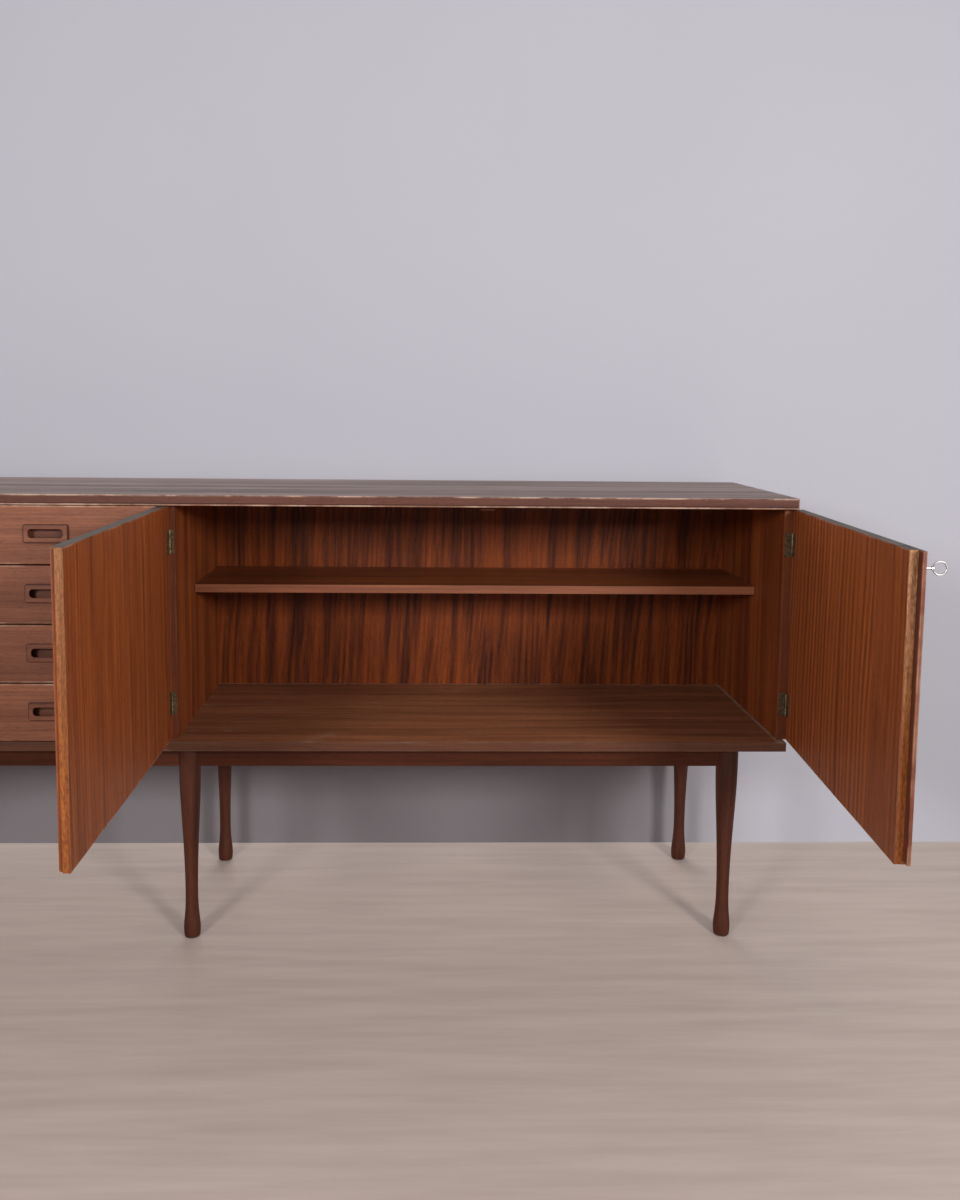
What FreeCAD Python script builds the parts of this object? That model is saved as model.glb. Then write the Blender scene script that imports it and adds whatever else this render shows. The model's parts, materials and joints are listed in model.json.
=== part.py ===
"""A long low sideboard on six turned legs: a two-door bay, four drawers and a one-door bay.

Millimetres. X runs along the front to the right, Y from the front to the back, Z up.
The origin is on the floor under the middle front leg. Doors are made shut, then swung to rest.
"""
import FreeCAD, Part
import math
import os

os.makedirs("parts", exist_ok=True)

# Case boards
OVERALL_HEIGHT = 780.0
CASE_LENGTH = 2060.0            # over the outer faces of the side panels
CASE_DEPTH = 375.0              # side panels, front edge to back edge
CASE_UNDERSIDE = 344.0          # floor to the underside of the bottom board
TOP_THICKNESS = 18.0
TOP_END_OVERHANG = 3.0
BOTTOM_THICKNESS = 16.0
BOTTOM_END_INSET = 4.0
FRONT_PROJECTION = 18.0         # top and bottom boards in front of the side panels
SIDE_THICKNESS = 16.0
DIVIDER_THICKNESS = 16.0
LINING_THICKNESS = 14.0
RIGHT_BAY_WIDTH = 1029.0
BOARD_EDGE_RADIUS = 0.8
TOP_CORNER_RADIUS = 3.0
GROOVE_HEIGHT = 1.4             # line cut round the top board's edge
GROOVE_DEPTH = 1.6
BEAD_HEIGHT = 2.6               # bead left under that line

# Back
BACK_THICKNESS = 5.0
BACK_RECESS = 2.0               # back panels lie this far inside the back edges
BACK_REBATE = 6.0               # overlap of a back panel on each board
BACK_PIN_PITCH = 190.0
BACK_PIN_HEAD_RADIUS = 1.8
BACK_PIN_HEAD_HEIGHT = 0.6
BACK_PIN_RADIUS = 0.8
BACK_PIN_LENGTH = 13.0

# Shelves
SHELF_THICKNESS = 15.0
SHELF_DEPTH = 220.0
SHELF_BACK_GAP = 3.0
SHELF_END_GAP = 1.0
SHELF_HEIGHT = 243.0            # bottom board to the top of the shelf
SHELF_PIN_RADIUS = 2.5
SHELF_PIN_OUT = 9.0
SHELF_PIN_IN = 10.0
SHELF_PIN_FROM_EDGE = 22.0

# Doors
DOOR_THICKNESS = 16.0
DOOR_END_GAP = 1.5              # above and below doors and drawer fronts
DOOR_BACK_GAP = 1.0             # door to the front edges of the case
MEETING_OFF_CENTRE = 10.25      # meeting line from midway between the hinge pins
MEETING_GAP = 10.0              # between the two doors, which the lip covers
LIP_THICKNESS = 5.2
LIP_OVERLAP = 4.0               # lip in front of the middle door
LIP_SEAT_WIDTH = 9.0
LIP_CLEARANCE = 0.6             # round the lip, in the middle door's rebate
LIP_FOOT_GAP = 4.0              # the lip stops short of the door's bottom
LEFT_DOOR_OVERLAP = 9.0         # left door on the left divider
MIDDLE_PIN_INSET = 9.0          # middle door's hinge pin from the right divider's bay face
RIGHT_DOOR_REST_ANGLE = 86.0   # opened from shut
MIDDLE_DOOR_REST_ANGLE = 90.0
DOOR_STOP_LENGTH = 25.0
DOOR_STOP_DEPTH = 16.5
DOOR_STOP_HEIGHT = 7.0
DOOR_STOP_LEFT_OF_MEETING = 16.0

# Butt hinges
HINGE_HEIGHT = 40.0
HINGE_FROM_DOOR_END = 61.0      # door end to the middle of the hinge
HINGE_LEAF_THICKNESS = 1.5
SIDE_LEAF_WIDTH = 13.2
DIVIDER_LEAF_WIDTH = 7.0
DOOR_LEAF_WIDTH = 15.0
BARREL_RADIUS = 2.5
BARREL_CLEARANCE = 0.3
OUTER_DOOR_INSET = 2.0          # shut door's end from the case's outer face
PIN_OUT = 0.4                   # hinge axis outside the edge of the shut door
PIN_RADIUS = 1.25
PIN_CLEARANCE = 0.05
KNUCKLES = 5
KNUCKLE_GAP = 0.3
HINGE_SCREWS = 2
HINGE_SCREW_RADIUS = 1.1
HINGE_SCREW_HEAD_RADIUS = 1.9
HINGE_SCREW_HEAD_HEIGHT = 1.0
HINGE_SCREW_LENGTH = 11.0
FIT = 0.1                       # clearance round let-in pieces

# Locks, at the top corner of a door's free edge
LOCK_BACKSET = 32.0             # free edge to the key's axis
KEY_BELOW_TOP = 27.0
LOCK_CASE_WIDTH = 30.0
LOCK_CASE_THICKNESS = 9.0
LOCK_CASE_HEIGHT = 38.0
LOCK_WALL = 1.3
FOREND_LENGTH = 44.0
FOREND_WIDTH = 11.0
FOREND_THICKNESS = 1.6
BOLT_WIDTH = 8.0
BOLT_THICKNESS = 4.0
BOLT_FOOT_WIDTH = 16.0
BOLT_FOOT_HEIGHT = 4.0
BOLT_SLIDE_CLEARANCE = 0.25
BOLT_BELOW_TOP = 0.3
BOLT_THROW = 6.0
STRIKE_LENGTH = 26.0
STRIKE_WIDTH = 11.0
STRIKE_THICKNESS = 1.0
STRIKE_HOLE_DEPTH = 8.0
STRIKE_CLEARANCE = 0.7
KEY_SHANK_RADIUS = 1.7
KEY_BIT_REACH = 6.3
KEY_BIT_WIDTH = 3.0
KEY_BIT_THICKNESS = 2.2
KEY_WARD = 1.0
KEY_NECK = 26.0                 # door face to the bow
KEY_BOW_RADIUS = 8.5
KEY_BOW_WIRE = 1.15
KEY_COLLAR_RADIUS = 2.6
KEY_COLLAR_LENGTH = 2.0
KEYHOLE_CLEARANCE = 0.6
ESCUTCHEON_WIDTH = 11.0
ESCUTCHEON_HEIGHT = 24.0
ESCUTCHEON_THICKNESS = 0.9
ESCUTCHEON_DROP = 2.0

# Drawers
DRAWERS = 4
DRAWER_FRONT_WIDTH = 363.0
DRAWER_FRONT_THICKNESS = 16.0
DRAWER_GAP = 2.5
OPEN_DOOR_GAP = 1.0             # drawer fronts to the face of the middle door opened square
DRAWER_SIDE_GAP = 1.0
DRAWER_SIDE_THICKNESS = 12.0
DRAWER_SIDE_HEIGHT = 74.0
DRAWER_SIDE_RAISE = 12.0        # bottom of the front to the bottom of the sides
DRAWER_BOX_LENGTH = 318.0
DRAWER_BACK_THICKNESS = 12.0
DRAWER_BACK_DROP = 6.0
DRAWER_BOTTOM_THICKNESS = 4.0
DRAWER_BOTTOM_RAISE = 6.0
BOTTOM_GROOVE_DEPTH = 5.0
RUNNER_HEIGHT = 9.4
RUNNER_IN_GROOVE = 5.5
RUNNER_SIDE_CLEARANCE = 0.5
RUNNER_TOP_CLEARANCE = 0.6
RUNNER_ABOVE_SIDE_BOTTOM = 32.0
RUNNER_START = 10.0
RUNNER_LENGTH = 300.0

# Pulls
PULL_LENGTH = 74.0
PULL_ABOVE_MIDDLE = 2.5
PULL_HEIGHT = 31.0
PULL_RAISE = 5.0
PULL_BODY_LENGTH = 70.0
PULL_BODY_HEIGHT = 27.0
PULL_BACK_WALL = 3.0
PULL_LIP = 4.0
PULL_CORNER_RADIUS = 3.0
PULL_EDGE_RADIUS = 1.6
SLOT_LENGTH = 58.0
SLOT_HEIGHT = 15.0
SLOT_RADIUS = 6.0
SLOT_EDGE_RADIUS = 0.8
POCKET_WALL = 2.2

# Base
LEG_END_INSET = 95.0            # side panel's outer face to the end leg's axis
LEG_FRONT_SETBACK = 18.0        # side panel's front edge to the front leg's axis
LEG_ROWS_APART = 320.0
LEG_TOP_RADIUS = 18.8
LEG_KNEE_RADIUS = 15.1
LEG_WAIST_RADIUS = 10.8
LEG_FLARE_RADIUS = 12.5
LEG_FOOT_RADIUS = 14.3
LEG_TOE_RADIUS = 13.3
LEG_SHOULDER_HEIGHT = 300.0
LEG_KNEE_HEIGHT = 210.0
LEG_WAIST_HEIGHT = 84.0
LEG_FLARE_HEIGHT = 40.0
LEG_FOOT_HEIGHT = 9.0
LEG_TOE_HEIGHT = 2.0
GLIDE_RADIUS = 12.0
RAIL_HEIGHT = 34.0
RAIL_THICKNESS = 20.0
RAIL_GLUE_LINE = 0.1
BASE_SCREWS_PER_RAIL = 2
BASE_SCREW_FROM_LEG = 150.0
BASE_SCREW_RADIUS = 2.0
BASE_SCREW_HEAD_RADIUS = 4.0
BASE_SCREW_HEAD_HEIGHT = 2.5
BASE_SCREW_BITE = 10.0
BASE_COUNTERBORE = 14.0
SCREW_CLEARANCE = 0.05

# Levels and faces that follow from the sizes above
END_X = CASE_LENGTH / 2
DOOR_END_X = END_X - OUTER_DOOR_INSET
FRONT_Y = -LEG_FRONT_SETBACK
BACK_Y = FRONT_Y + CASE_DEPTH
BOARD_FRONT_Y = FRONT_Y - FRONT_PROJECTION
BACK_PANEL_Y = BACK_Y - BACK_RECESS - BACK_THICKNESS
BAY_FLOOR = CASE_UNDERSIDE + BOTTOM_THICKNESS
BAY_TOP = OVERALL_HEIGHT - TOP_THICKNESS
BAY_END_X = END_X - SIDE_THICKNESS
RIGHT_DIVIDER_X = BAY_END_X - RIGHT_BAY_WIDTH
RIGHT_LINING_X = RIGHT_DIVIDER_X - DIVIDER_THICKNESS
DRAWER_BAY_RIGHT = RIGHT_LINING_X - LINING_THICKNESS
PIN_Y = FRONT_Y - DOOR_BACK_GAP / 2
RIGHT_PIN_X = DOOR_END_X + PIN_OUT
LEFT_PIN_X = -RIGHT_PIN_X
MIDDLE_PIN_X = RIGHT_DIVIDER_X - MIDDLE_PIN_INSET
OPEN_DOOR_FACE = MIDDLE_PIN_X - DOOR_BACK_GAP / 2 - DOOR_THICKNESS
FRONTS_RIGHT = OPEN_DOOR_FACE - OPEN_DOOR_GAP
DRAWER_X = FRONTS_RIGHT - DRAWER_FRONT_WIDTH / 2
DRAWER_BAY_LEFT = 2 * DRAWER_X - DRAWER_BAY_RIGHT
LEFT_LINING_X = DRAWER_BAY_LEFT - LINING_THICKNESS
LEFT_DIVIDER_X = LEFT_LINING_X - DIVIDER_THICKNESS
DOOR_BACK_Y = FRONT_Y - DOOR_BACK_GAP
DOOR_FRONT_Y = DOOR_BACK_Y - DOOR_THICKNESS
DOOR_MID_Y = (DOOR_BACK_Y + DOOR_FRONT_Y) / 2
DOOR_BOTTOM = BAY_FLOOR + DOOR_END_GAP
DOOR_TOP = BAY_TOP - DOOR_END_GAP
MEETING_X = (MIDDLE_PIN_X + RIGHT_PIN_X) / 2 + MEETING_OFF_CENTRE
RIGHT_FREE_X = MEETING_X + MEETING_GAP / 2
MIDDLE_FREE_X = MEETING_X - MEETING_GAP / 2
LEFT_FREE_X = LEFT_DIVIDER_X + LEFT_DOOR_OVERLAP
LIP_END_X = MIDDLE_FREE_X - LIP_OVERLAP
KEY_Z = DOOR_TOP - KEY_BELOW_TOP
RIGHT_KEY_X = RIGHT_FREE_X + LOCK_BACKSET
LEFT_KEY_X = LEFT_FREE_X - LOCK_BACKSET
DRAWER_FRONT_HEIGHT = (DOOR_TOP - DOOR_BOTTOM - (DRAWERS - 1) * DRAWER_GAP) / DRAWERS
DRAWER_FRONT_Y = DOOR_BACK_Y - DRAWER_FRONT_THICKNESS
BOX_RIGHT = DRAWER_BAY_RIGHT - DRAWER_SIDE_GAP
BOX_LEFT = DRAWER_BAY_LEFT + DRAWER_SIDE_GAP
BOX_BACK_Y = DOOR_BACK_Y + DRAWER_BOX_LENGTH
SHELF_TOP = BAY_FLOOR + SHELF_HEIGHT
SHELF_BACK_Y = BACK_PANEL_Y - SHELF_BACK_GAP
LEG_X = END_X - LEG_END_INSET
RAIL_BOTTOM = CASE_UNDERSIDE - RAIL_HEIGHT
LEG_PLACES = {
    "left": -LEG_X,
    "middle": 0.0,
    "right": LEG_X,
}
HINGE_HEIGHTS = (DOOR_BOTTOM + HINGE_FROM_DOOR_END, DOOR_TOP - HINGE_FROM_DOOR_END)
ALONG_Y = FreeCAD.Vector(0, 1, 0)
UP = FreeCAD.Vector(0, 0, 1)


def point(x, y, z):
    return FreeCAD.Vector(x, y, z)


def block(x_span, y_span, z_span):
    """A rectangular block between three pairs of faces, each given low then high."""
    size = [high - low for low, high in (x_span, y_span, z_span)]
    return Part.makeBox(*size, point(x_span[0], y_span[0], z_span[0]))


def about(middle, width):
    """The low and high faces of a width centred on a middle."""
    return (middle - width / 2, middle + width / 2)


def rod(start, direction, radius, length):
    return Part.makeCylinder(radius, length, start, direction)


def cone(start, direction, first_radius, last_radius, length):
    return Part.makeCone(first_radius, last_radius, length, start, direction)


def eased(shape, radius=BOARD_EDGE_RADIUS):
    """The shape with every edge rounded."""
    return shape.makeFillet(radius, shape.Edges)


def cut_all(shape, tools):
    return shape.cut(tools) if tools else shape


def edges_along(shape, direction):
    """The straight edges that run along a direction."""
    chosen = []
    for edge in shape.Edges:
        if isinstance(edge.Curve, Part.Line) and abs(edge.tangentAt(edge.FirstParameter).dot(direction)) > 0.999:
            chosen.append(edge)
    return chosen


def edges_on_level(shape, axis, level):
    """The edges that lie in a plane square to an axis, 0, 1 or 2 for X, Y or Z."""
    tolerance = 1e-4
    chosen = []
    for edge in shape.Edges:
        places = [vertex.Point[axis] for vertex in edge.Vertexes]
        if all(abs(place - level) < tolerance for place in places):
            chosen.append(edge)
    return chosen


def rounded_slab(x_span, y_span, z_span, radius):
    """A block whose four edges along Y are rounded, as a plate seen from the front."""
    slab = block(x_span, y_span, z_span)
    return slab.makeFillet(radius, edges_along(slab, ALONG_Y))


def obround(x, z, width, height, y_start, y_end):
    """A slab with half-round ends above and below, centred on x and z."""
    return rounded_slab(about(x, width), (y_start, y_end), about(z, height), width / 2 - 0.01)


def swing(shape, pin_x, degrees):
    """The shape turned about a door's hinge pin."""
    turned = shape.copy()
    turned.rotate(point(pin_x, PIN_Y, 0), UP, degrees)
    return turned


def save(name, solids):
    """Writes one node. A list becomes a group of separate solids."""
    shape = Part.makeCompound(solids) if isinstance(solids, list) else solids
    shape.exportStep("parts/" + name + ".step")


# Hinges. Each is drawn with its axis at x = 0, the shut door towards +x, and its bottom at z = 0.

HINGES = {
    "left": {"pin_x": LEFT_PIN_X, "towards": 1, "frame_leaf": SIDE_LEAF_WIDTH, "open": 0.0},
    "middle": {
        "pin_x": MIDDLE_PIN_X,
        "towards": 1,
        "frame_leaf": DIVIDER_LEAF_WIDTH,
        "open": -MIDDLE_DOOR_REST_ANGLE,
    },
    "right": {
        "pin_x": RIGHT_PIN_X,
        "towards": -1,
        "frame_leaf": SIDE_LEAF_WIDTH,
        "open": RIGHT_DOOR_REST_ANGLE,
    },
}
FLAT_START = BARREL_RADIUS + BARREL_CLEARANCE
GAP_HALF = DOOR_BACK_GAP / 2


def place_hinge_piece(shape, door, bottom):
    """Moves a piece from the hinge's own frame to one hinge of a shut door."""
    hinge = HINGES[door]
    piece = shape.copy() if hinge["towards"] > 0 else shape.mirror(point(0, 0, 0), point(1, 0, 0))
    piece.translate(point(hinge["pin_x"], PIN_Y, bottom))
    return piece


def both_hinges(shape, door):
    """The piece at the lower and the upper hinge of a shut door."""
    return [place_hinge_piece(shape, door, middle - HINGE_HEIGHT / 2) for middle in HINGE_HEIGHTS]


def screw_places(leaf_width):
    """x and z of the screws in a leaf."""
    x = (FLAT_START + leaf_width) / 2
    step = HINGE_HEIGHT / HINGE_SCREWS
    return [(x, step * (number + 0.5)) for number in range(HINGE_SCREWS)]


def hinge_leaf(leaf_width, side, first_knuckle):
    """A plate with every second knuckle. side is 1 for the case's leaf and -1 for the door's."""
    inner = side * GAP_HALF
    outer = side * (GAP_HALF + HINGE_LEAF_THICKNESS)
    y_span = (min(inner, outer), max(inner, outer))
    leaf = block((FLAT_START, leaf_width), y_span, (0, HINGE_HEIGHT))
    knuckle = HINGE_HEIGHT / KNUCKLES
    for number in range(first_knuckle, KNUCKLES, 2):
        low = number * knuckle + KNUCKLE_GAP / 2
        high = (number + 1) * knuckle - KNUCKLE_GAP / 2
        leaf = leaf.fuse(rod(point(0, 0, low), UP, BARREL_RADIUS, high - low))
        leaf = leaf.fuse(block((0, FLAT_START), y_span, (low, high)))
    leaf = leaf.cut(rod(point(0, 0, 0), UP, PIN_RADIUS + PIN_CLEARANCE, HINGE_HEIGHT))
    holes = []
    for x, z in screw_places(leaf_width):
        start = point(x, inner, z)
        into = point(0, side, 0)
        holes.append(rod(start, into, HINGE_SCREW_RADIUS + FIT, HINGE_LEAF_THICKNESS))
        wide = HINGE_SCREW_HEAD_RADIUS + FIT
        narrow = HINGE_SCREW_RADIUS + FIT
        holes.append(cone(start, into, wide, narrow, HINGE_SCREW_HEAD_HEIGHT))
    return leaf.cut(holes).removeSplitter()


def hinge_screws(leaf_width, side):
    """Countersunk screws, driven from the gap into the wood."""
    screws = []
    for x, z in screw_places(leaf_width):
        start = point(x, side * GAP_HALF, z)
        into = point(0, side, 0)
        head = cone(start, into, HINGE_SCREW_HEAD_RADIUS, HINGE_SCREW_RADIUS, HINGE_SCREW_HEAD_HEIGHT)
        screws.append(head.fuse(rod(start, into, HINGE_SCREW_RADIUS, HINGE_SCREW_LENGTH)))
    return screws


def hinge_mortise(leaf_width, side):
    """What is cut from the wood for a leaf, the barrel and its screws."""
    deep = side * (GAP_HALF + HINGE_LEAF_THICKNESS + SCREW_CLEARANCE)
    barrel = BARREL_RADIUS + BARREL_CLEARANCE + FIT
    tools = [
        block((0, leaf_width + FIT), (min(0, deep), max(0, deep)), (-FIT, HINGE_HEIGHT + FIT)),
        block((-barrel, barrel), (-barrel, barrel), (-FIT, HINGE_HEIGHT + FIT)),
    ]
    for x, z in screw_places(leaf_width):
        tools.append(rod(point(x, 0, z), point(0, side, 0), HINGE_SCREW_RADIUS + SCREW_CLEARANCE,
                         GAP_HALF + HINGE_SCREW_LENGTH + FIT))
    return tools


def hinge_cuts(door, side):
    """All the hinge cuts for one side of both of a door's hinges."""
    width = HINGES[door]["frame_leaf"] if side > 0 else DOOR_LEAF_WIDTH
    cuts = []
    for tool in hinge_mortise(width, side):
        cuts.extend(both_hinges(tool, door))
    return cuts


def save_hinges():
    """The leaves, pins and screws of all six hinges, grouped by the body that they are fixed to."""
    frame_leaves = []
    frame_screws = []
    pins = []
    pin = rod(point(0, 0, 0), UP, PIN_RADIUS, HINGE_HEIGHT)
    for door, hinge in HINGES.items():
        frame_leaves.extend(both_hinges(hinge_leaf(hinge["frame_leaf"], 1, 0), door))
        pins.extend(both_hinges(pin, door))
        for screw in hinge_screws(hinge["frame_leaf"], 1):
            frame_screws.extend(both_hinges(screw, door))
        door_leaves = both_hinges(hinge_leaf(DOOR_LEAF_WIDTH, -1, 1), door)
        door_screws = []
        for screw in hinge_screws(DOOR_LEAF_WIDTH, -1):
            door_screws.extend(both_hinges(screw, door))
        save(door + "_door_hinge_leaves", [swing(leaf, hinge["pin_x"], hinge["open"]) for leaf in door_leaves])
        save(door + "_door_hinge_screws", [swing(screw, hinge["pin_x"], hinge["open"]) for screw in door_screws])
    save("hinge_frame_leaves", frame_leaves)
    save("hinge_frame_screws", frame_screws)
    save("hinge_pins", pins)


# Case

BACK_PANELS = {
    "left": (-BAY_END_X - BACK_REBATE, LEFT_LINING_X - DIVIDER_THICKNESS / 2),
    "middle": (LEFT_LINING_X - DIVIDER_THICKNESS / 2, RIGHT_DIVIDER_X - DIVIDER_THICKNESS / 2),
    "right": (RIGHT_DIVIDER_X - DIVIDER_THICKNESS / 2, BAY_END_X + BACK_REBATE),
}
BACK_PANEL_Z = (BAY_FLOOR - BACK_REBATE, BAY_TOP + BACK_REBATE)


def back_pin_places():
    """x and z of the pins round the edges of each back panel."""
    places = []
    for left, right in BACK_PANELS.values():
        count = max(2, round((right - left) / BACK_PIN_PITCH))
        margin = BACK_REBATE / 2
        span = right - left - 2 * margin
        for number in range(count + 1):
            x = left + margin + span * number / count
            places.extend([(x, BACK_PANEL_Z[0] + margin), (x, BACK_PANEL_Z[1] - margin)])
        middle = (BACK_PANEL_Z[0] + BACK_PANEL_Z[1]) / 2
        places.extend([(left + margin, middle), (right - margin, middle)])
    return places


def back_pin_holes():
    radius = BACK_PIN_RADIUS + SCREW_CLEARANCE
    start = BACK_PANEL_Y + BACK_THICKNESS
    return [rod(point(x, start, z), -ALONG_Y, radius, BACK_PIN_LENGTH + FIT) for x, z in back_pin_places()]


def back_rebate():
    """The room that the back panels take out of the top, bottom and side boards."""
    x_span = (-BAY_END_X - BACK_REBATE, BAY_END_X + BACK_REBATE)
    return block(x_span, (BACK_PANEL_Y, BACK_Y + FIT), BACK_PANEL_Z)


def holes_near(shape, holes):
    """Only the holes whose boxes meet the shape's box."""
    return [hole for hole in holes if shape.BoundBox.intersect(hole.BoundBox)]


def edge_groove(slab):
    """The line cut round the front and ends of the top board, above its bead."""
    low = BAY_TOP + BEAD_HEIGHT
    size = slab.BoundBox
    outer = block(
        (size.XMin - FIT, size.XMax + FIT), (size.YMin - FIT, BACK_Y + FIT), (low, low + GROOVE_HEIGHT))
    inner = block(
        (size.XMin + GROOVE_DEPTH, size.XMax - GROOVE_DEPTH),
        (size.YMin + GROOVE_DEPTH, BACK_Y + 2 * FIT),
        (low, low + GROOVE_HEIGHT))
    return outer.cut(inner)


def strike_cut(key_x):
    """The recess for a strike plate and the hole for the bolt, in the top board."""
    plate = block(
        about(key_x, STRIKE_LENGTH + FIT), about(DOOR_MID_Y, STRIKE_WIDTH + FIT),
        (BAY_TOP, BAY_TOP + STRIKE_THICKNESS + SCREW_CLEARANCE))
    hole = block(
        about(key_x, BOLT_WIDTH + 2 * STRIKE_CLEARANCE), about(DOOR_MID_Y, BOLT_THICKNESS + 2 * STRIKE_CLEARANCE),
        (BAY_TOP, BAY_TOP + STRIKE_HOLE_DEPTH))
    return [plate, hole]


def top_board():
    slab = block(
        (-END_X - TOP_END_OVERHANG, END_X + TOP_END_OVERHANG), (BOARD_FRONT_Y, BACK_Y), (BAY_TOP, OVERALL_HEIGHT))
    slab = slab.makeFillet(TOP_CORNER_RADIUS, edges_along(slab, UP))
    groove = edge_groove(slab)
    slab = slab.makeFillet(BOARD_EDGE_RADIUS, edges_on_level(slab, 2, OVERALL_HEIGHT))
    cuts = [groove, back_rebate()] + strike_cut(RIGHT_KEY_X) + strike_cut(LEFT_KEY_X)
    return cut_all(slab, cuts + holes_near(slab, back_pin_holes()))


def base_screw_places():
    """x and y of the screws that hold the long rails to the bottom board."""
    places = []
    for y in (0.0, LEG_ROWS_APART):
        for left in (-LEG_X, 0.0):
            first = left + BASE_SCREW_FROM_LEG
            step = (LEG_X - 2 * BASE_SCREW_FROM_LEG) / (BASE_SCREWS_PER_RAIL - 1)
            places.extend([(first + step * number, y) for number in range(BASE_SCREWS_PER_RAIL)])
    return places


def base_screw_holes():
    """Counterbores and clearance holes up through the rails into the bottom board."""
    holes = []
    for x, y in base_screw_places():
        counterbore = BASE_SCREW_HEAD_RADIUS + 10 * FIT
        holes.append(rod(point(x, y, RAIL_BOTTOM - FIT), UP, counterbore, BASE_COUNTERBORE + FIT))
        reach = RAIL_HEIGHT + BASE_SCREW_BITE + FIT
        holes.append(rod(point(x, y, RAIL_BOTTOM), UP, BASE_SCREW_RADIUS + SCREW_CLEARANCE, reach))
    return holes


def bottom_board():
    end = END_X - BOTTOM_END_INSET
    slab = eased(block((-end, end), (BOARD_FRONT_Y, BACK_Y), (CASE_UNDERSIDE, BAY_FLOOR)))
    return cut_all(slab, [back_rebate()] + base_screw_holes() + holes_near(slab, back_pin_holes()))


def shelf_pin_places():
    """x, y and outward sense of each shelf pin; the pins stand in the faces of the bays."""
    places = []
    faces = [
        (-BAY_END_X, 1), (LEFT_DIVIDER_X, -1),
        (RIGHT_DIVIDER_X, 1), (BAY_END_X, -1),
    ]
    for x, sense in faces:
        for y in (SHELF_BACK_Y - SHELF_DEPTH + SHELF_PIN_FROM_EDGE, SHELF_BACK_Y - SHELF_PIN_FROM_EDGE):
            places.append((x, y, sense))
    return places


SHELF_PIN_Z = SHELF_TOP - SHELF_THICKNESS - SHELF_PIN_RADIUS - SCREW_CLEARANCE


def shelf_pin_holes():
    radius = SHELF_PIN_RADIUS + SCREW_CLEARANCE
    return [
        rod(point(x, y, SHELF_PIN_Z), point(-sense, 0, 0), radius, SHELF_PIN_IN + FIT)
        for x, y, sense in shelf_pin_places()
    ]


def side_panel(outer_x, inner_x, door):
    panel = eased(block(
        (min(outer_x, inner_x), max(outer_x, inner_x)), (FRONT_Y, BACK_Y), (BAY_FLOOR, BAY_TOP)))
    cuts = [back_rebate()] + hinge_cuts(door, 1) + shelf_pin_holes() + back_pin_holes()
    return cut_all(panel, holes_near(panel, cuts))


def divider(left_x, doors):
    """A divider stops at the back panels. doors names what is hinged on its front edge."""
    panel = eased(block((left_x, left_x + DIVIDER_THICKNESS), (FRONT_Y, BACK_PANEL_Y), (BAY_FLOOR, BAY_TOP)))
    cuts = shelf_pin_holes() + back_pin_holes()
    for door in doors:
        cuts.extend(hinge_cuts(door, 1))
    return cut_all(panel, holes_near(panel, cuts))


def drawer_linings():
    """The two boards that carry the runners, one against each divider."""
    linings = []
    for left_x in (LEFT_LINING_X, DRAWER_BAY_RIGHT):
        span = (left_x, left_x + LINING_THICKNESS)
        lining = eased(block(span, (FRONT_Y, BACK_PANEL_Y), (BAY_FLOOR, BAY_TOP)))
        linings.append(cut_all(lining, holes_near(lining, hinge_cuts("middle", 1))))
    return linings


def back_panel(span):
    panel = block(span, (BACK_PANEL_Y, BACK_PANEL_Y + BACK_THICKNESS), BACK_PANEL_Z)
    return cut_all(panel, holes_near(panel, back_pin_holes()))


def back_panel_pins():
    pins = []
    start = BACK_PANEL_Y + BACK_THICKNESS
    for x, z in back_pin_places():
        shank = rod(point(x, start, z), -ALONG_Y, BACK_PIN_RADIUS, BACK_PIN_LENGTH)
        head = rod(point(x, start, z), ALONG_Y, BACK_PIN_HEAD_RADIUS, BACK_PIN_HEAD_HEIGHT)
        pins.append(shank.fuse(head))
    return pins


def shelf(bay_left, bay_right):
    return eased(block(
        (bay_left + SHELF_END_GAP, bay_right - SHELF_END_GAP),
        (SHELF_BACK_Y - SHELF_DEPTH, SHELF_BACK_Y),
        (SHELF_TOP - SHELF_THICKNESS, SHELF_TOP)))


def shelf_pins():
    pins = []
    for x, y, sense in shelf_pin_places():
        start = point(x - sense * SHELF_PIN_IN, y, SHELF_PIN_Z)
        pins.append(rod(start, point(sense, 0, 0), SHELF_PIN_RADIUS, SHELF_PIN_IN + SHELF_PIN_OUT))
    return pins


def door_stop():
    left = MEETING_X - DOOR_STOP_LEFT_OF_MEETING
    front = DOOR_BACK_Y + DOOR_BACK_GAP / 2
    return eased(block(
        (left, left + DOOR_STOP_LENGTH), (front, front + DOOR_STOP_DEPTH), (BAY_TOP - DOOR_STOP_HEIGHT, BAY_TOP)))


def strike_plate(key_x):
    plate = block(
        about(key_x, STRIKE_LENGTH), about(DOOR_MID_Y, STRIKE_WIDTH), (BAY_TOP, BAY_TOP + STRIKE_THICKNESS))
    return plate.cut(block(
        about(key_x, BOLT_WIDTH + 2 * STRIKE_CLEARANCE), about(DOOR_MID_Y, BOLT_THICKNESS + 2 * STRIKE_CLEARANCE),
        (BAY_TOP - FIT, BAY_TOP + 2 * STRIKE_THICKNESS)))


# Base

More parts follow.
